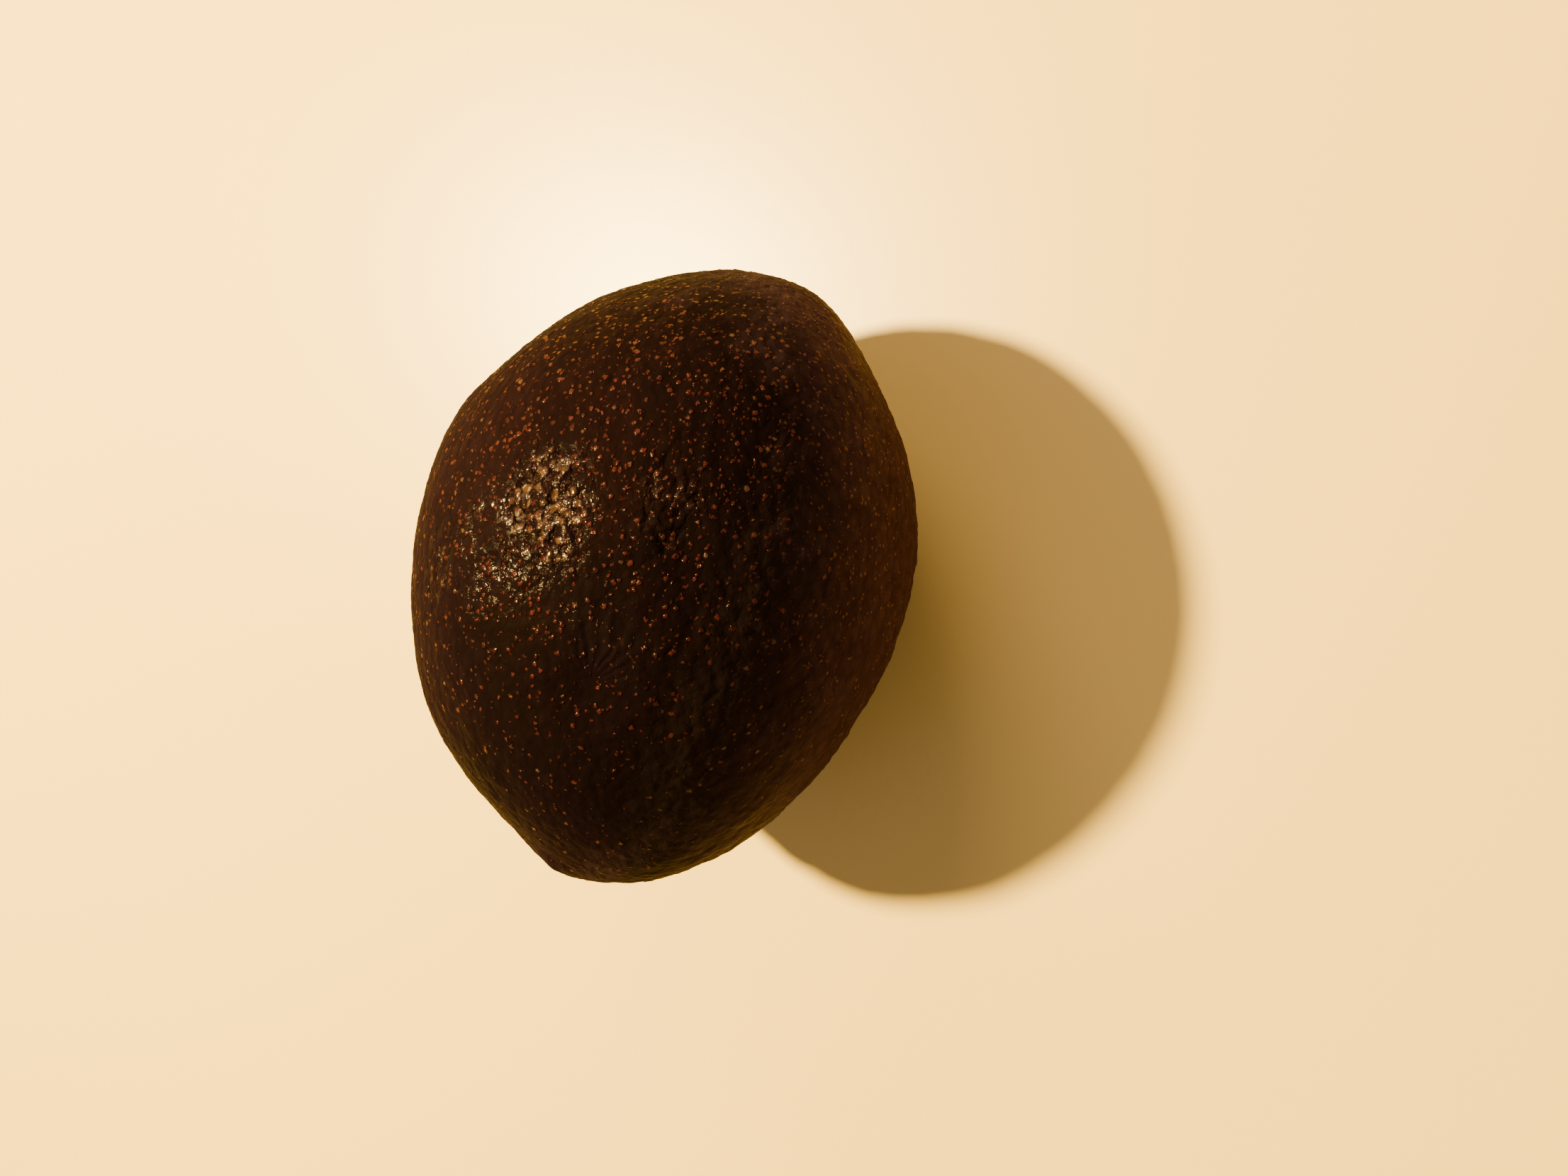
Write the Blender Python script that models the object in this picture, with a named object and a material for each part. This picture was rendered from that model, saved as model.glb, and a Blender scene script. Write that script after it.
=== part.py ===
"""An avocado lying on its side: one grown piece with a pebbled skin.

Metres, +Z up. +X runs from the stem end to the broad blossom end. The origin
is on the surface that the fruit rests on, under the middle of its box.
"""
import math

import bmesh
import bpy
import numpy as np

# Body: an egg of half-sizes along X, Y and Z before its lobes are added
HALF_LENGTH = 0.0450
HALF_WIDTH = 0.0327
HALF_HEIGHT = 0.0329
TAPER = 0.025        # share by which the blossom end is wider than the middle
END_SLIMMING = 0.135  # share by which both ends are slimmer than the middle

# Places on the skin are in degrees from the blossom end and degrees round X
# from +Y toward +Z. Each rise is in metres and each width in degrees.
LOBES = {
    "flat over the blossom end": (20, 60, -0.0031, 30),
    "far shoulder": (40, 160, 0.0012, 30),
    "stem end cheek": (145, 140, 0.0015, 24),
    "stem end far side": (165, -20, 0.0017, 24),
}

# Shallow lumps and hollows along the edge that shows from above
LUMP_WIDTH = 11
LUMPS = (
    (20, -160, 0.0004), (40, -165, -0.0006), (70, -160, 0.0005),
    (105, -165, -0.0007), (135, 180, 0.0002), (155, 145, -0.0003),
    (160, 90, 0.0006), (150, 70, -0.0007), (120, 50, 0.0005),
    (95, 40, -0.0002), (70, 40, 0.0005), (55, 30, -0.0007),
)

# Marks on the skin
MARKS = {
    "pucker": (99, 110, -0.0008, 6),
    "furrow beside the rough patch": (74, 121, -0.0006, 5),
    "step beside the stem end": (152, 100, 0.0005, 4),
    "pit beside the stem end": (123, -171, -0.0005, 4),
}

# Stem end: a shallow hollow with a raised corky scar in it
STEM_ANGLE = (172, -60)  # off the end of the axis, as a picked stem leaves it
STEM_HOLLOW_DEPTH = 0.0022
STEM_HOLLOW_ANGLE = 17.0
STEM_SCAR_HEIGHT = 0.0009
STEM_SCAR_ANGLE = 6.5
STEM_SCAR_EDGE = 0.6
STEM_SMOOTH_ANGLE = 9.0  # no pebbles within this of the scar's middle

# Blossom end: a low point, just under the end of the axis
TIP_ANGLE = (14, -95)
TIP_HEIGHT = 0.0004
TIP_WIDTH = 4.0

# Relief of the skin
SWELL_HEIGHT = 0.00012
SWELL_WAVES = 12
SWELL_CYCLES = 5.0
PEBBLE_COUNT = 640
PEBBLE_HEIGHT = 0.00055
PEBBLE_CREASE = 0.55  # share of the spacing taken by the crease between two
PEBBLE_SCATTER = 0.34  # share of the spacing by which each strays from its place
SMALLEST_PEBBLE = 0.35  # share of the tallest one's height
PEBBLE_SEED = 7

# Resting place and mesh
REST_CUT = 0.00045  # height of the sliver taken off below to rest on
FACE_DIVISIONS = 28  # squares along each side of the cube that becomes the egg

SKIN_COLOUR = (0.030, 0.017, 0.010, 1.0)
SKIN_ROUGHNESS = 0.42


def clear_scene():
    for item in list(bpy.data.objects):
        bpy.data.objects.remove(item, do_unlink=True)


def skin_material():
    material = bpy.data.materials.new("avocado_skin")
    material.use_nodes = True
    shader = material.node_tree.nodes["Principled BSDF"]
    shader.inputs["Base Color"].default_value = SKIN_COLOUR
    shader.inputs["Roughness"].default_value = SKIN_ROUGHNESS
    shader.inputs["Metallic"].default_value = 0.0
    return material


def direction(from_blossom, around):
    """Unit vector for a place given by two angles in degrees."""
    along, turn = math.radians(from_blossom), math.radians(around)
    return np.array((math.cos(along),
                     math.sin(along) * math.cos(turn),
                     math.sin(along) * math.sin(turn)))


def degrees_from(rays, place):
    """Angle of each ray from one place on the unit sphere."""
    return np.degrees(np.arccos(np.clip(rays @ direction(*place), -1.0, 1.0)))


def bump(rays, place, height, width):
    return height * np.exp(-(degrees_from(rays, place) / width) ** 2)


def egg(rays):
    """Points and outward normals of the plain egg along unit rays."""
    along = rays[:, 0]
    girth = 1 + TAPER * along - END_SLIMMING * (along ** 2 - 1 / 3)
    points = np.column_stack((HALF_LENGTH * along,
                              HALF_WIDTH * girth * rays[:, 1],
                              HALF_HEIGHT * girth * rays[:, 2]))
    normals = points / np.array((HALF_LENGTH, HALF_WIDTH, HALF_HEIGHT)) ** 2
    return points, normals / np.linalg.norm(normals, axis=1, keepdims=True)


def swells(rays, rng):
    """Gentle unevenness from a few waves through the body."""
    total = np.zeros(len(rays))
    for _ in range(SWELL_WAVES):
        heading = rng.normal(size=3) * SWELL_CYCLES
        total += np.sin(rays @ heading + rng.uniform(0, 2 * math.pi))
    return SWELL_HEIGHT * total / math.sqrt(SWELL_WAVES / 2)


def pebbles(rays, rng):
    """Flat round bumps on a jittered spiral, parted by creases."""
    count = np.arange(PEBBLE_COUNT) + 0.5
    level = 1 - 2 * count / PEBBLE_COUNT
    turn = math.pi * (1 + math.sqrt(5)) * count
    ring = np.sqrt(1 - level ** 2)
    spacing = math.sqrt(4 * math.pi / PEBBLE_COUNT)
    seeds = np.column_stack((level, ring * np.cos(turn), ring * np.sin(turn)))
    seeds += rng.normal(scale=PEBBLE_SCATTER * spacing, size=seeds.shape)
    seeds /= np.linalg.norm(seeds, axis=1, keepdims=True)
    sizes = rng.uniform(SMALLEST_PEBBLE, 1.0, PEBBLE_COUNT)
    apart = np.sqrt(np.maximum(0, 2 - 2 * rays @ seeds.T))
    nearest = np.argsort(apart, axis=1)[:, :2]
    first = np.take_along_axis(apart, nearest[:, :1], 1)[:, 0]
    second = np.take_along_axis(apart, nearest[:, 1:], 1)[:, 0]
    edge = np.clip((second - first) / (PEBBLE_CREASE * spacing), 0, 1)
    dome = sizes[nearest[:, 0]] * edge * edge * (3 - 2 * edge)
    return PEBBLE_HEIGHT * (dome - dome.mean())


def stem_end(rays):
    """The hollow that the stem grew from and the scar left in it."""
    away = degrees_from(rays, STEM_ANGLE)
    hollow = -STEM_HOLLOW_DEPTH * np.exp(-(away / STEM_HOLLOW_ANGLE) ** 2)
    scar = STEM_SCAR_HEIGHT / (1 + np.exp((away - STEM_SCAR_ANGLE) / STEM_SCAR_EDGE))
    return hollow + scar


def skin_height(rays):
    """How far the skin stands out from the plain egg, in metres."""
    rng = np.random.default_rng(PEBBLE_SEED)
    away_from_stem = 1 - np.exp(-(degrees_from(rays, STEM_ANGLE) / STEM_SMOOTH_ANGLE) ** 4)
    height = swells(rays, rng) + pebbles(rays, rng) * away_from_stem
    for from_blossom, around, rise, width in (*LOBES.values(), *MARKS.values()):
        height += bump(rays, (from_blossom, around), rise, width)
    for from_blossom, around, rise in LUMPS:
        height += bump(rays, (from_blossom, around), rise, LUMP_WIDTH)
    height += bump(rays, TIP_ANGLE, TIP_HEIGHT, TIP_WIDTH)
    return height + stem_end(rays)


def sphere_of_squares():
    """A cube cut into even squares and blown up to a unit sphere."""
    mesh = bmesh.new()
    bmesh.ops.create_cube(mesh, size=2.0)
    bmesh.ops.subdivide_edges(mesh, edges=mesh.edges[:], cuts=FACE_DIVISIONS - 1,
                              use_grid_fill=True)
    for vertex in mesh.verts:
        for axis in range(3):
            vertex.co[axis] = math.tan(vertex.co[axis] * math.pi / 4)
        vertex.co.normalize()
    return mesh


def rest_flat(mesh, height):
    """Takes off what lies below a level and closes the cut with one flat face."""
    everything = mesh.verts[:] + mesh.edges[:] + mesh.faces[:]
    cut = bmesh.ops.bisect_plane(mesh, geom=everything, dist=1e-6,
                                 plane_co=(0, 0, height), plane_no=(0, 0, -1),
                                 clear_outer=True)
    rim = [item for item in cut["geom_cut"] if isinstance(item, bmesh.types.BMEdge)]
    bmesh.ops.contextual_create(mesh, geom=rim)


def build_fruit():
    mesh = sphere_of_squares()
    rays = np.array([vertex.co for vertex in mesh.verts])
    points, normals = egg(rays)
    points += normals * skin_height(rays)[:, None]
    low, high = points.min(axis=0), points.max(axis=0)
    points -= ((low[0] + high[0]) / 2, (low[1] + high[1]) / 2, low[2] + REST_CUT)
    for vertex, point in zip(mesh.verts, points):
        vertex.co = point
    rest_flat(mesh, 0.0)
    bmesh.ops.triangulate(mesh, faces=mesh.faces[:])
    bmesh.ops.recalc_face_normals(mesh, faces=mesh.faces[:])
    data = bpy.data.meshes.new("avocado")
    mesh.to_mesh(data)
    mesh.free()
    data.shade_smooth()
    data.materials.append(skin_material())
    fruit = bpy.data.objects.new("avocado", data)
    bpy.context.scene.collection.objects.link(fruit)
    return fruit


clear_scene()
build_fruit()
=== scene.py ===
import math

import bpy
import numpy as np
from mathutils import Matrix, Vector, noise
from mathutils.kdtree import KDTree


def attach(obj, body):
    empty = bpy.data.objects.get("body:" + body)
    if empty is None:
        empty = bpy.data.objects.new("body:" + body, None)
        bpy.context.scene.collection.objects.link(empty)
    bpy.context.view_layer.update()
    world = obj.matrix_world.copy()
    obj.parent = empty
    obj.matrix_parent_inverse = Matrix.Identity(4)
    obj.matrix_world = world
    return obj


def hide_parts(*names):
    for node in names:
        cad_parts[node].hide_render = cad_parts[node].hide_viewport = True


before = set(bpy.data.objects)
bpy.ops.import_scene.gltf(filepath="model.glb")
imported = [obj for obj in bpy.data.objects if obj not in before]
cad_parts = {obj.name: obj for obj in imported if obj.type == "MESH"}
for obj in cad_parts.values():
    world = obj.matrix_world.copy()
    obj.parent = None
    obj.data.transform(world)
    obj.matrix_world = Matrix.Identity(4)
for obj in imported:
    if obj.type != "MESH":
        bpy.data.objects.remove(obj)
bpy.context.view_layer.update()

# The fruit: a lopsided egg of flesh in a leathery skin, grown as one piece, picked,
# and lying on its side on a small flat spot, with its broad blossom end at +X. A cube
# is cut into even squares, blown up to a ball and moved out to the egg by a formula.
MM = 0.001
HALF_SIZE = np.array((45.0, 32.7, 32.9)) * MM
EGG_MIDDLE = np.array((0.753, 0.062, 33.761)) * MM
TAPER = 0.025         # share by which the blossom end is wider than the middle
END_SLIMMING = 0.135  # share by which both ends are slimmer than the middle
CUTS = (31, 3)        # across each side of the cube, then across each square

# A place on the skin is in degrees from the blossom end and in degrees round X,
# from +Y toward +Z. A height is in millimetres, and a width in degrees.
PUCKER = (99, 110)
LOBES_AND_MARKS = (
    ((20, 60), -3.1, 30),    # flat over the blossom end
    ((40, 160), 1.2, 30),    # near shoulder
    ((145, 140), 1.5, 24),   # cheek of the stem end
    ((165, -20), 1.7, 24),   # far side of the stem end
    (PUCKER, -0.8, 6),
    ((74, 121), -0.6, 5),    # furrow beside the scabs
    ((152, 100), 0.5, 4),    # step beside the stem end
    ((123, -171), -0.5, 4),  # pit beside the stem end
)
LUMP_WIDTH = 11
LUMPS = (
    ((20, -160), 0.4), ((40, -165), -0.6), ((70, -160), 0.5), ((105, -165), -0.7),
    ((135, 180), 0.2), ((155, 145), -0.3), ((160, 90), 0.6), ((150, 70), -0.7),
    ((120, 50), 0.5), ((95, 40), -0.2), ((70, 40), 0.5), ((55, 30), -0.7),
)
BLOSSOM_POINT = ((14, -95), 0.4, 4.0)

bpy.ops.object.select_all(action="DESELECT")
bpy.ops.mesh.primitive_cube_add(size=2)
fruit = bpy.context.object
fruit.name = "avocado_skin"
bpy.ops.object.mode_set(mode="EDIT")
bpy.ops.mesh.select_all(action="SELECT")
for cuts in CUTS:
    bpy.ops.mesh.subdivide(number_cuts=cuts)
bpy.ops.object.mode_set(mode="OBJECT")

corners = np.empty(len(fruit.data.vertices) * 3)
fruit.data.vertices.foreach_get("co", corners)
rays = np.tan(corners.reshape(-1, 3) * math.pi / 4)
rays /= np.linalg.norm(rays, axis=1, keepdims=True)


def degrees_from(place):
    """Angle of each ray from one place on the skin."""
    along, turn = np.radians(place)
    ray = np.array((math.cos(along),
                    math.sin(along) * math.cos(turn),
                    math.sin(along) * math.sin(turn)))
    return np.degrees(np.arccos(np.clip(rays @ ray, -1.0, 1.0)))


def rise(place, height, width):
    return height * MM * np.exp(-(degrees_from(place) / width) ** 2)


girth = 1 + TAPER * rays[:, 0] - END_SLIMMING * (rays[:, 0] ** 2 - 1 / 3)
egg = rays * HALF_SIZE * np.column_stack((np.ones(len(rays)), girth, girth))
outward = egg / HALF_SIZE ** 2
outward /= np.linalg.norm(outward, axis=1, keepdims=True)

form = np.zeros(len(rays))
for place, height, width in LOBES_AND_MARKS:
    form += rise(place, height, width)
for place, height in LUMPS:
    form += rise(place, height, LUMP_WIDTH)
form += rise(*BLOSSOM_POINT)

# The stem end: where the fruit hung, the picked stem leaves a round corky scar
# standing in a shallow hollow. Both are grown in the same piece as the skin.
STEM_SCAR = (172, -60)
SCAR_HEIGHT = 0.9
SCAR_ANGLE = 6.5
SCAR_EDGE = 0.6
HOLLOW_DEPTH = 2.2
HOLLOW_WIDTH = 17.0

from_scar = degrees_from(STEM_SCAR)
cork = 1 / (1 + np.exp((from_scar - SCAR_ANGLE) / SCAR_EDGE))
form += SCAR_HEIGHT * MM * cork + rise(STEM_SCAR, -HOLLOW_DEPTH, HOLLOW_WIDTH)

# The skin's relief: the leathery rind swells gently, has low pebbles of about 5 and
# 2 mm and a grain of 1 mm parted by creases, and is cracked and raised in scabs. It
# is all grown in the one skin, so it is moved into the same mesh.
SKIN_SEED = 7
SWELL_WAVES = 12
SWELL_CYCLES = 5.0
SWELL_HEIGHT = 0.12
PEBBLE_SCATTER = 0.34  # share of the spacing by which each strays from its place

chance = np.random.default_rng(SKIN_SEED)
swell = np.zeros(len(rays))
for _ in range(SWELL_WAVES):
    heading = chance.normal(size=3) * SWELL_CYCLES
    swell += np.sin(rays @ heading + chance.uniform(0, 2 * math.pi))
form += SWELL_HEIGHT * MM * swell / math.sqrt(SWELL_WAVES / 2)


def pebbles(count, smallest, crease):
    """Flat-topped bumps on a jittered spiral: 0 in the creases, up to 1 on the tallest."""
    number = np.arange(count) + 0.5
    level = 1 - 2 * number / count
    turn = math.pi * (1 + math.sqrt(5)) * number
    ring = np.sqrt(1 - level ** 2)
    spacing = math.sqrt(4 * math.pi / count)
    seeds = np.column_stack((level, ring * np.cos(turn), ring * np.sin(turn)))
    seeds += chance.normal(scale=PEBBLE_SCATTER * spacing, size=seeds.shape)
    seeds /= np.linalg.norm(seeds, axis=1, keepdims=True)
    sizes = chance.uniform(smallest, 1.0, count)
    tree = KDTree(count)
    for index, seed in enumerate(seeds):
        tree.insert(seed, index)
    tree.balance()
    found = [tree.find_n(ray, 2) for ray in rays]
    owner = np.array([pair[0][1] for pair in found])
    margin = np.array([pair[1][2] - pair[0][2] for pair in found])
    edge = np.clip(margin / (crease * spacing), 0, 1)
    return sizes[owner] * edge * edge * (3 - 2 * edge), edge


def uneven(size_mm, octaves, offset):
    """Fractal noise of about -1 to 1, with lumps of one size and finer."""
    shift = Vector((offset, 0.0, 0.0))
    scale = 1 / (size_mm * MM)
    return np.array([noise.fractal(Vector(point) * scale + shift, 1.0, 2.0, octaves)
                     for point in egg])


coarse, _ = pebbles(count=640, smallest=0.35, crease=0.55)
fine, fine_edge = pebbles(count=4600, smallest=0.1, crease=0.50)
grain, _ = pebbles(count=15000, smallest=0.0, crease=0.6)
blotch = uneven(size_mm=7.0, octaves=2, offset=3.0)

# Each scab has a place, a width and a strength. Noise makes their edges ragged.
SCABS = (
    ((76, 91), 10, 1.0),
    ((84, 82), 12, 0.35),
    ((70, 116), 7, 0.42),
    ((91, 66), 7, 0.3),
)
scab = np.zeros(len(rays))
for place, width, strength in SCABS:
    scab = np.maximum(scab, strength * np.exp(-(degrees_from(place) / width) ** 4))
scab *= np.clip(0.75 + 1.1 * uneven(size_mm=3.5, octaves=3, offset=5.0), 0.05, 1)

# The flank is the lower part of the near side. The paler colour it gets in the
# finish is painted reflected light; its deeper relief is the skin's own.
FLANK_TOP = 0.64
FLANK_FADE = 0.45
toward_blossom, toward_far, toward_top = outward.T
flank = np.clip((FLANK_TOP + 0.12 * blotch - toward_top) / FLANK_FADE, 0, 1)
flank *= np.clip(0.35 - 1.2 * toward_far + 0.3 * blotch, 0, 1)

# Heights of the relief in millimetres. All of it is sunk a little, so that its
# tops stay within the size of the solid.
COARSE_HEIGHT = 0.07
SINK = 0.05
WAVE_HEIGHT, WAVE_ON_FLANK = 0.10, 0.08
PIT_DEPTH, PIT_EDGE = 0.10, 0.25
FINE_HEIGHT, FINE_ON_SCAB = 0.085, 0.13
GRAIN_HEIGHT, GRAIN_ON_SCAB, GRAIN_ON_FLANK = 0.070, 0.05, 0.03
CORK_CRACK, CORK_GRAIN = 0.25, 0.12
STEM_SMOOTH_ANGLE = 9.0

waves = (WAVE_HEIGHT + WAVE_ON_FLANK * flank) * uneven(size_mm=4.2, octaves=3, offset=0.0)
pits = PIT_DEPTH * np.clip(uneven(size_mm=3.0, octaves=2, offset=8.0) - PIT_EDGE, 0, 1)
relief = COARSE_HEIGHT * (coarse - coarse.mean()) - SINK
relief += waves - pits
relief += (FINE_HEIGHT + FINE_ON_SCAB * scab) * (fine - fine.mean())
relief += (GRAIN_HEIGHT + GRAIN_ON_SCAB * scab + GRAIN_ON_FLANK * flank) * (grain - grain.mean())
form += relief * MM * (1 - np.exp(-(from_scar / STEM_SMOOTH_ANGLE) ** 4))
form -= (CORK_CRACK * (1 - fine_edge) + CORK_GRAIN * grain) * MM * cork

place_of_points = egg + outward * form[:, None] + EGG_MIDDLE
place_of_points[:, 2] = np.maximum(place_of_points[:, 2], 0)
fruit.data.vertices.foreach_set("co", place_of_points.ravel())
fruit.data.update()
bpy.ops.object.shade_smooth()

# The skin's patches: large corky freckles crowd over the top towards the blossom
# end, where a painted sheen lies too, small ones are sprinkled round the near
# shoulder, painted fill light lies on the near side, and a dusty bloom, its colour
# a painted rim sheen, covers the far side and both ends. They are painted on the
# mesh for the finish to read.
CROWDED_PLACE, CROWDED_WIDTH = (60, 84), 50
SPRINKLED_PLACE, SPRINKLED_WIDTH = (48, 132), 52
FOLD_WAY = (0.99, -0.14, 0.0)  # the pucker's folds fan out toward this side
FOLD_REACH, FOLD_MIDDLE = 13, 5
TINY = 1e-6

# The crowding places the large freckles; the same mask also lays a painted sheen, a lighter brown
# towards the highlight, into the rind's colour.
crowding_and_sheen = 0.10 + 0.86 * np.exp(-(degrees_from(CROWDED_PLACE) / CROWDED_WIDTH) ** 2)
crowding_and_sheen += 0.25 * blotch
sprinkling = 0.05 + 0.54 * np.exp(-(degrees_from(SPRINKLED_PLACE) / SPRINKLED_WIDTH) ** 2)
# Painted fill light: the near side, in shade from the lamp, is painted a lighter brown to stand in
# for the light it gets.
painted_fill_side = (-toward_far - 0.20 * toward_blossom - 0.56) / 0.22  # browner than the top
# The bloom really dulls the skin; its rose colour is a painted rim sheen on the far side and both
# ends.
ends = np.maximum(1.1 * toward_blossom - 0.60, -1.2 * toward_blossom - 0.42)
bloom_and_rim_sheen = (np.maximum(toward_far, ends) - 0.12 + 0.10 * blotch) / 0.60

from_pucker = degrees_from(PUCKER)
middle_point = np.argmin(from_pucker)
pucker_place = place_of_points[middle_point]
offsets = place_of_points - pucker_place
ahead = np.clip(offsets @ FOLD_WAY / (np.linalg.norm(offsets, axis=1) + TINY), 0, 1)
fold = ahead ** 2 * np.exp(-(from_pucker / FOLD_REACH) ** 4)
fold *= 1 - np.exp(-(from_pucker / FOLD_MIDDLE) ** 2)
pucker_along = np.cross(outward[middle_point], (0, 0, 1))
pucker_along /= np.linalg.norm(pucker_along)
pucker_across = np.cross(outward[middle_point], pucker_along)

patches = {
    "scab": scab,
    "cork": cork,
    "crease": 1 - fine_edge,
    "flank": flank,
    "painted_fill_side": painted_fill_side,
    "crowding_and_sheen": crowding_and_sheen,
    "sprinkling": sprinkling,
    "bloom_and_rim_sheen": bloom_and_rim_sheen,
    "fold": fold,
}
for name, amounts in patches.items():
    layer = fruit.data.attributes.new(name, "FLOAT", "POINT")
    layer.data.foreach_set("value", np.clip(amounts, 0, 1))


# The skin's finish: near-black rind, dull, with a purple or green cast in places.
# Its colour also holds painted light: a painted sheen over the top, painted fill
# light on the near side, painted reflected light on the flank, a painted rim sheen
# in the bloom, and painted shade in the creases and in the scabs' cracks.
# The wax on it shows on the orange and red-brown corky freckles, on the scabs and
# on the pucker's folds, and bloom dims it. The skin is grown, with nothing laid on.
class Wire:
    """A socket of a shader, which Python sums and products extend."""

    def __init__(self, tree, socket=None):
        self.tree = tree
        self.socket = socket

    def node(self, kind, settings, inputs, output=0):
        item = self.tree.nodes.new("ShaderNode" + kind)
        for name, value in settings.items():
            setattr(item, name, value)
        for name, value in inputs.items():
            if isinstance(value, Wire):
                self.tree.links.new(value.socket, item.inputs[name])
            else:
                item.inputs[name].default_value = value
        return Wire(self.tree, item.outputs[output])

    def maths(self, operation, first, second):
        return self.node("Math", {"operation": operation}, {0: first, 1: second})

    def __add__(self, other):
        return self.maths("ADD", self, other)

    def __radd__(self, other):
        return self.maths("ADD", other, self)

    def __sub__(self, other):
        return self.maths("SUBTRACT", self, other)

    def __rsub__(self, other):
        return self.maths("SUBTRACT", other, self)

    def __mul__(self, other):
        return self.maths("MULTIPLY", self, other)

    def __rmul__(self, other):
        return self.maths("MULTIPLY", other, self)

    def __truediv__(self, other):
        return self.maths("DIVIDE", self, other)

    def beside(self, output):
        """Another output of the node that this one comes from."""
        return Wire(self.tree, self.socket.node.outputs[output])

    def step(self, low, high):
        """0 below low, 1 above high and a smooth rise between."""
        return self.node("MapRange", {"interpolation_type": "SMOOTHSTEP"},
                         {"Value": self, "From Min": low, "From Max": high})

    def blend(self, colour, other):
        """The first colour where this is 0, and the other where it is 1."""
        return self.node("Mix", {"data_type": "RGBA"}, {0: self, 6: colour, 7: other}, 2)


MM_PER_METRE = 1000
RAGGED_SIZE = 0.6
RAGGED_REACH = 0.60

skin = bpy.data.materials.new("avocado_skin_finish")
skin.use_nodes = True
start = Wire(skin.node_tree)
spot = start.node("TexCoord", {}, {}, "Object")
ragged = start.node("TexNoise", {}, {"Vector": spot, "Scale": MM_PER_METRE / RAGGED_SIZE,
                                     "Detail": 2.0}, "Color")
ragged = start.node("VectorMath", {"operation": "MULTIPLY_ADD"},
                    {0: ragged, 1: (RAGGED_REACH * MM,) * 3, 2: (-RAGGED_REACH / 2 * MM,) * 3})
ragged_spot = start.node("VectorMath", {"operation": "ADD"}, {0: spot, 1: ragged})


def painted(name):
    return start.node("Attribute", {"attribute_name": name}, {}, "Fac")


def cloud(size_mm, detail, seed):
    return start.node("TexNoise", {"noise_dimensions": "4D"},
                      {"Vector": spot, "W": seed, "Scale": MM_PER_METRE / size_mm,
                       "Detail": detail}, "Fac")


def cells(spacing_mm, smoothness):
    """Distance from the middle of the nearest rounded cell."""
    return start.node("TexVoronoi", {"feature": "SMOOTH_F1"},
                      {"Vector": ragged_spot, "Scale": MM_PER_METRE / spacing_mm,
                       "Smoothness": smoothness}, "Distance")


def freckles(spacing_mm, smallest_mm, largest_mm, share):
    """Dots at scattered points: a dome from 0 to 1 on each, and a draw for its tint."""
    apart = start.node("TexVoronoi", {}, {"Vector": ragged_spot,
                                          "Scale": MM_PER_METRE / spacing_mm}, "Distance")
    size = start.node("SeparateColor", {}, {"Color": apart.beside("Color")}, "Red")
    radius = (smallest_mm + (largest_mm - smallest_mm) * size) * (1 / spacing_mm)
    dome = (1 - apart / radius).step(0.0, 0.75)
    return dome * (share - size.beside("Green")).step(0.0, 0.05), size.beside("Blue")


scab_here = painted("scab")
cork_here = painted("cork")
crease_shade_here = painted("crease")
flank_here = painted("flank")
painted_fill_here = painted("painted_fill_side")
crowd_and_sheen_here = painted("crowding_and_sheen")
sprinkle_here = painted("sprinkling")
bloom_and_sheen_here = painted("bloom_and_rim_sheen")
fold_here = painted("fold")

clusters = cloud(size_mm=2.6, detail=1.0, seed=11.0).step(0.30, 0.66)
large_share = crowd_and_sheen_here * (0.42 + 0.95 * clusters) * (1 - 0.6 * flank_here)
large, large_draw = freckles(spacing_mm=0.92, smallest_mm=0.26, largest_mm=0.54, share=large_share)
small, small_draw = freckles(spacing_mm=0.60, smallest_mm=0.11, largest_mm=0.31, share=sprinkle_here)

# The rind's colour, from its near-black to each cast that lies over it. The purple,
# green and mottled casts are its own; the sheen, the fill, the flank's paler brown
# and the bloom's rose are painted light, and the darker creases are painted shade.
BROWN_BLACK = (0.0044, 0.0022, 0.0017, 1)
PURPLE_BLACK = (0.0048, 0.0021, 0.0022, 1)
GREEN_BLACK = (0.0048, 0.0027, 0.0016, 1)
PAINTED_SHEEN_BROWN = (0.0120, 0.0040, 0.0028, 1)
PAINTED_RIM_SHEEN_ROSE = (0.0165, 0.0062, 0.0070, 1)
PAINTED_FILL_BROWN = (0.0150, 0.0088, 0.0056, 1)
FLANK_PAINTED_REFLECTION = (0.0360, 0.0180, 0.0165, 1)
MOTTLE_BROWN = (0.0095, 0.0034, 0.0026, 1)
PAINTED_CREASE_SHADE = (0.003, 0.0013, 0.0006, 1)

purple_here = cloud(size_mm=26, detail=2.0, seed=1.0).step(0.42, 0.62)
green_here = cloud(size_mm=19, detail=2.0, seed=5.0).step(0.55, 0.72)
mottle_here = cloud(size_mm=2.2, detail=4.0, seed=3.0).step(0.35, 0.75)
# The mottle is random tone, but it is made stronger where the painted sheen and the painted fill
# light lie, and adds to them.
mottle_here = mottle_here * (0.45 * crowd_and_sheen_here + 0.3 * painted_fill_here)
ground = purple_here.blend(BROWN_BLACK, PURPLE_BLACK)
for cover, cast in (
    (green_here, GREEN_BLACK),
    # painted sheen: a lighter brown over the top towards the highlight
    (crowd_and_sheen_here.step(0.55, 1.0) * 0.25, PAINTED_SHEEN_BROWN),
    # painted rim sheen in the bloom's rose
    (0.55 * bloom_and_sheen_here, PAINTED_RIM_SHEEN_ROSE),
    # painted fill light on the shaded near side
    (painted_fill_here, PAINTED_FILL_BROWN),
    # painted reflected light: the low flank paler, as if lit by the counter
    (flank_here, FLANK_PAINTED_REFLECTION),
    (mottle_here, MOTTLE_BROWN),
    # painted shade: the creases between pebbles darker
    (crease_shade_here * 0.35, PAINTED_CREASE_SHADE),
):
    ground = cover.blend(ground, cast)

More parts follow.
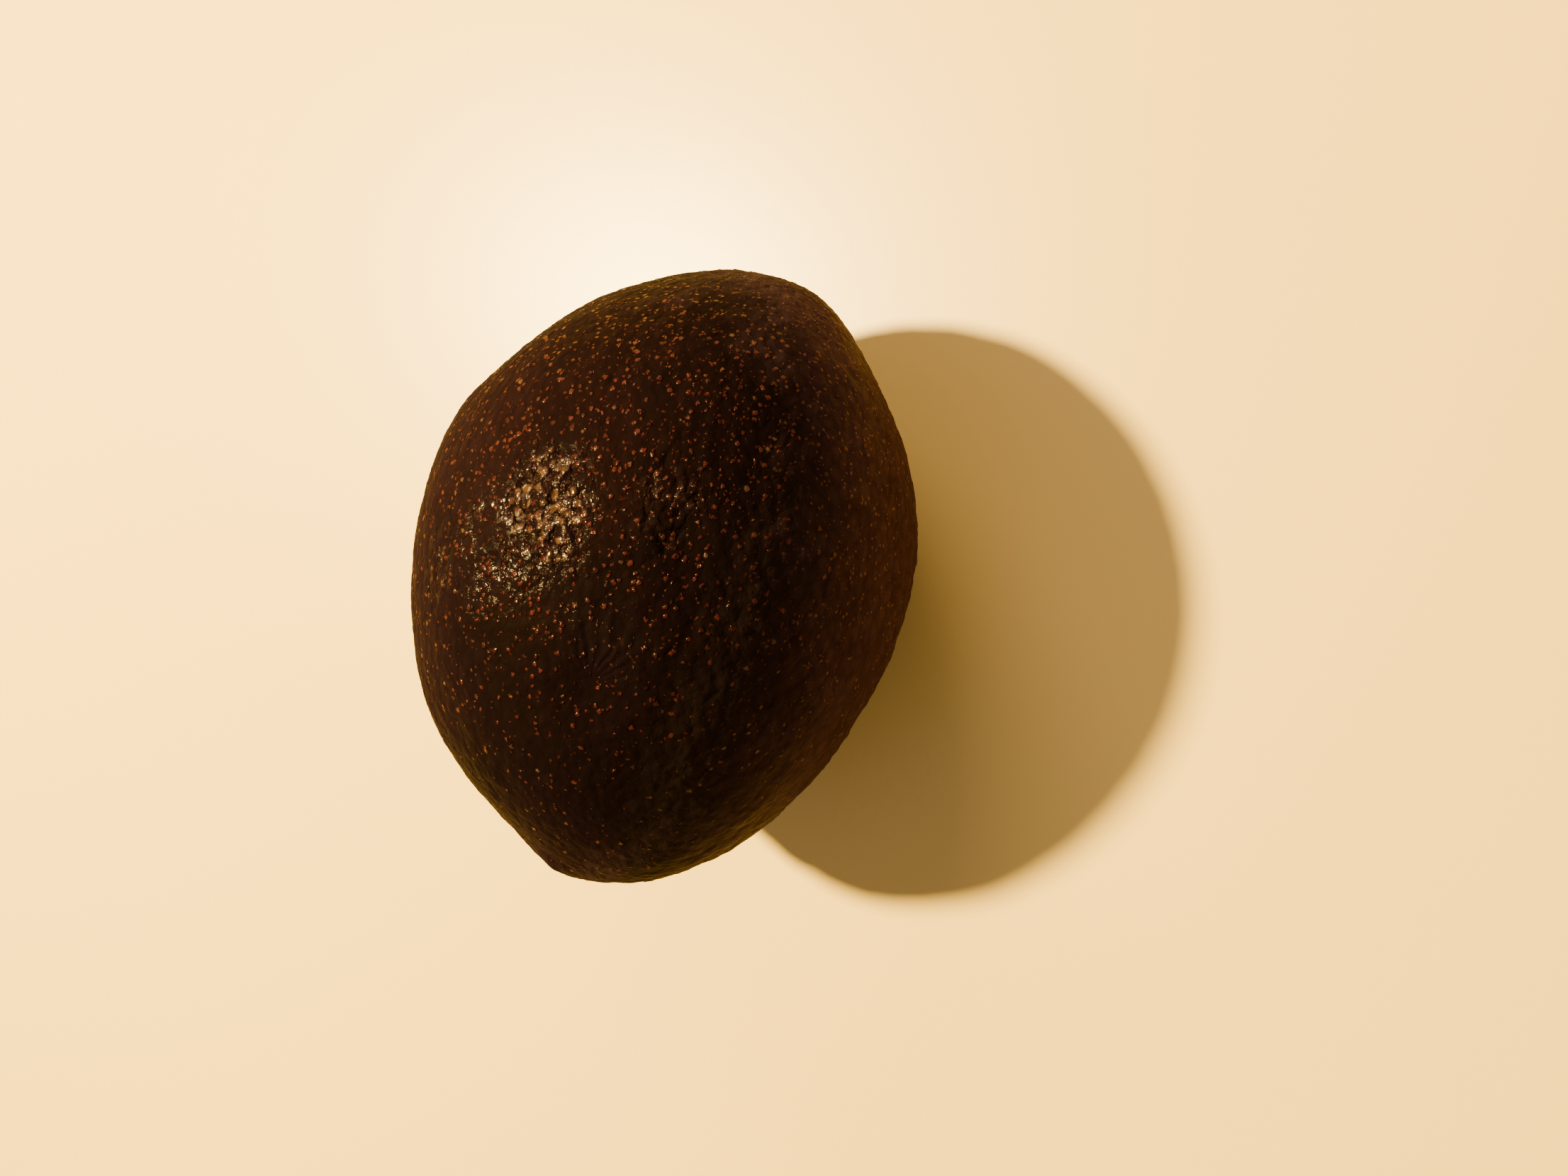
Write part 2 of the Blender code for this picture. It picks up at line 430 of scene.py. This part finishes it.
# Scabs are cracked into lumps and larger flakes, with tan tops, and the cracks
# between them painted dark as painted shade.
PAINTED_CRACK_SHADE = (0.008, 0.003, 0.0015, 1)
TAN_DARK = (0.018, 0.0070, 0.0020, 1)
TAN_LIGHT = (0.060, 0.026, 0.0075, 1)

lumps = cells(spacing_mm=1.05, smoothness=0.2)
flakes = cells(spacing_mm=1.7, smoothness=0.1)
crumbs = cloud(size_mm=0.45, detail=2.0, seed=8.0)
scab_top = (scab_here * (1.0 - 1.9 * lumps + 0.7 * crumbs)).step(0.10, 0.55)
tan = cloud(size_mm=1.3, detail=2.0, seed=6.0).step(0.35, 0.65).blend(TAN_DARK, TAN_LIGHT)
tan = scab_top.blend(PAINTED_CRACK_SHADE, tan)

# Large freckles run from dark to bright orange with a rare tan one, small ones
# from dark to bright red-brown, and both are painted paler on the flank as painted
# reflected light.
ORANGE_DARK = (0.0165, 0.0030, 0.0018, 1)
ORANGE_BRIGHT = (0.048, 0.0092, 0.0050, 1)
RARE_TAN = (0.045, 0.019, 0.009, 1)
ORANGE_WITH_PAINTED_REFLECTION = (0.072, 0.028, 0.014, 1)
RED_DARK = (0.0155, 0.0032, 0.0021, 1)
RED_BRIGHT = (0.034, 0.0078, 0.0047, 1)
RED_WITH_PAINTED_REFLECTION = (0.100, 0.050, 0.031, 1)

orange = large_draw.blend(ORANGE_DARK, ORANGE_BRIGHT)
orange = large_draw.step(0.94, 0.96).blend(orange, RARE_TAN)
orange = (0.5 * flank_here).blend(orange, ORANGE_WITH_PAINTED_REFLECTION)
red = small_draw.blend(RED_DARK, RED_BRIGHT)
red = (0.9 * flank_here).blend(red, RED_WITH_PAINTED_REFLECTION)
large_here = large.step(0.1, 0.9)

# The dull finish has the freckles over the rind, and cork on the stem's scar. The
# waxy finish has the scabs' tan instead of the cork.
CORK_DARK = (0.009, 0.0048, 0.0028, 1)
CORK_LIGHT = (0.036, 0.019, 0.011, 1)

dull_colour = small.step(0.0, 0.5).blend(ground, red)
dull_colour = large_here.blend(dull_colour, orange)
wax_colour = (scab_here * 1.6).step(0.0, 1.0).blend(dull_colour, tan)
wax_colour = (large_here * (1 - 0.25 * scab_here)).blend(wax_colour, orange)
corky = cloud(size_mm=1.3, detail=3.0, seed=13.0).step(0.32, 0.68).blend(CORK_DARK, CORK_LIGHT)
ragged_cork = cork_here + 0.9 * cloud(size_mm=1.6, detail=3.0, seed=14.0) - 0.45
dull_colour = ragged_cork.step(0.25, 0.75).blend(dull_colour, corky)

# Folds fan out from the pucker, as waves round its middle.
FOLD_COUNT = 24
FOLD_WANDER = 12

from_middle = start.node("VectorMath", {"operation": "SUBTRACT"},
                         {0: spot, 1: tuple(pucker_place)})
across = start.node("VectorMath", {"operation": "DOT_PRODUCT"},
                    {0: from_middle, 1: tuple(pucker_across)}, "Value")
along = start.node("VectorMath", {"operation": "DOT_PRODUCT"},
                   {0: from_middle, 1: tuple(pucker_along)}, "Value")
turned = start.maths("ARCTAN2", along, across)
wander = cloud(size_mm=4.0, detail=2.0, seed=4.0)
folds = start.node("Math", {"operation": "SINE"}, {0: turned * FOLD_COUNT + FOLD_WANDER * wander})

# Bloomed skin shrinks into wrinkles that run along the fruit.
WRINKLE_WIDTH = 1.5
WRINKLE_STRETCH = (0.28, 1.0, 1.0)

stretched = start.node("VectorMath", {"operation": "MULTIPLY"},
                       {0: ragged_spot, 1: WRINKLE_STRETCH})
wrinkles = start.node("TexNoise", {}, {"Vector": stretched, "Scale": MM_PER_METRE / WRINKLE_WIDTH,
                                       "Detail": 2.0}, "Fac")
wrinkles = wrinkles.step(0.38, 0.62) * (0.16 * bloom_and_sheen_here + 0.07 * flank_here)

# The finest relief, in millimetres: grain, the scabs' own grain and flake rims,
# unevenness, cracks round lumps and flakes, domes of freckles, folds, cork and
# wrinkles.
scab_grain = cloud(size_mm=0.38, detail=2.0, seed=12.0)
rims = flakes.step(0.26, 0.34) * (1 - flakes.step(0.36, 0.46))
pores = cloud(size_mm=0.9, detail=3.0, seed=15.0)
height = 0.025 * cloud(size_mm=0.7, detail=3.0, seed=2.0)
height += scab_here * (0.10 * scab_grain + 0.05 * rims)
height += 0.06 * cloud(size_mm=2.6, detail=2.0, seed=7.0)
height -= lumps * lumps * (0.07 + 0.55 * scab_here)
height -= flakes * flakes * (0.10 + 0.80 * scab_here)
height += 0.15 * large
height += 0.075 * small
height += 0.07 * folds * fold_here
height += cork_here * (0.35 * pores - 0.5 * lumps * lumps)
height += wrinkles
bumps = start.node("Bump", {}, {"Strength": 1.0, "Distance": MM, "Height": height})

DULL_IOR = 1.033
DULL_GLINT = (1.0, 0.80, 0.60, 1)
WAX_IOR = 1.40
WAX_GLINT = (1.0, 0.80, 0.50, 1)

satin = cloud(size_mm=1.6, detail=3.0, seed=9.0)
dull = start.node("BsdfPrincipled", {}, {
    "Base Color": dull_colour, "Normal": bumps, "IOR": DULL_IOR, "Specular Tint": DULL_GLINT,
    "Roughness": 0.40 + 0.12 * satin + 0.40 * cork_here + 0.16 * bloom_and_sheen_here}, "BSDF")
waxy = start.node("BsdfPrincipled", {}, {
    "Base Color": wax_colour, "Normal": bumps, "IOR": WAX_IOR, "Specular Tint": WAX_GLINT,
    "Roughness": 0.11 + 0.14 * satin}, "BSDF")
wax_here = 0.38 * large.step(0.3, 0.9) + 0.12 * small
wax_here += 0.9 * scab_top
wax_here += 0.2 * scab_here
wax_here += 0.25 * fold_here
wax_here *= 1 - 0.8 * flank_here
wax_here *= 1 - 0.65 * bloom_and_sheen_here
finish = start.node("MixShader", {}, {0: wax_here, 1: dull, 2: waxy})
skin.node_tree.links.new(finish.socket, skin.node_tree.nodes["Material Output"].inputs["Surface"])
skin.node_tree.nodes.remove(skin.node_tree.nodes["Principled BSDF"])
fruit.data.materials.append(skin)
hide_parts("avocado")
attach(fruit, "root")

# The counter: the flat pale surface that the fruit lies on, plain and slightly
# glossy. It is only the stage, and not part of the fruit.
COUNTER_WIDTH = 3.0
COUNTER_COLOUR = (0.90, 0.60, 0.105, 1)
COUNTER_ROUGHNESS = 0.34

bpy.ops.mesh.primitive_plane_add(size=COUNTER_WIDTH)
counter = bpy.context.object
counter.name = "counter"
counter_finish = bpy.data.materials.new("counter_finish")
counter_finish.use_nodes = True
counter_shader = counter_finish.node_tree.nodes["Principled BSDF"]
counter_shader.inputs["Base Color"].default_value = COUNTER_COLOUR
counter_shader.inputs["Roughness"].default_value = COUNTER_ROUGHNESS
counter.data.materials.append(counter_finish)

# The light: one small warm lamp high over the far side, which throws the shadow,
# a weak rosy fill from beyond the blossom end, and a dim even room.
LAMP_PLACE = (0.0205, 0.4206, 0.628)
LAMP_TILT = -35.4
LAMP_WIDTH = 0.062
LAMP_POWER = 37.0
LAMP_COLOUR = (1.0, 0.78, 0.36)
FILL_PLACE = (0.50, 0.265, 0.36)
FILL_AWAY = (0.50, 0.265, 0.33)  # the way from the fruit's middle to the fill
FILL_WIDTH = 0.35
FILL_POWER = 2.9
FILL_COLOUR = (1.0, 0.76, 0.85)
ROOM_COLOUR = (1.0, 0.82, 0.88, 1)
ROOM_STRENGTH = 0.38

bpy.ops.object.light_add(type="AREA", location=LAMP_PLACE)
lamp = bpy.context.object
lamp.data.shape = "DISK"
lamp.data.size = LAMP_WIDTH
lamp.data.energy = LAMP_POWER
lamp.data.color = LAMP_COLOUR
lamp.rotation_euler = (math.radians(LAMP_TILT), 0, 0)
bpy.ops.object.light_add(type="AREA", location=FILL_PLACE)
fill = bpy.context.object
fill.data.size = FILL_WIDTH
fill.data.energy = FILL_POWER
fill.data.color = FILL_COLOUR
fill.rotation_euler = Vector(FILL_AWAY).to_track_quat("Z", "Y").to_euler()
room = bpy.context.scene.world or bpy.data.worlds.new("room")
bpy.context.scene.world = room
room.use_nodes = True
room.node_tree.nodes["Background"].inputs["Color"].default_value = ROOM_COLOUR
room.node_tree.nodes["Background"].inputs["Strength"].default_value = ROOM_STRENGTH

# The camera: held close above the near side, looking steeply down, with a lens
# that gives the frame of a picture 2212 pixels wide.
CAMERA_PLACE = (0.0394, -0.0781, 0.1761)
CAMERA_TURN = (-5.556, 25.339, -73.035)
CAMERA_START = 0.01
SENSOR_WIDTH = 36
PICTURE_WIDTH = 2212
FOCAL_PIXELS = 1650

bpy.ops.object.camera_add(location=CAMERA_PLACE,
                          rotation=[math.radians(turn) for turn in CAMERA_TURN])
camera = bpy.context.object
camera.data.sensor_width = SENSOR_WIDTH
camera.data.lens = SENSOR_WIDTH * FOCAL_PIXELS / PICTURE_WIDTH
camera.data.clip_start = CAMERA_START
bpy.context.scene.camera = camera
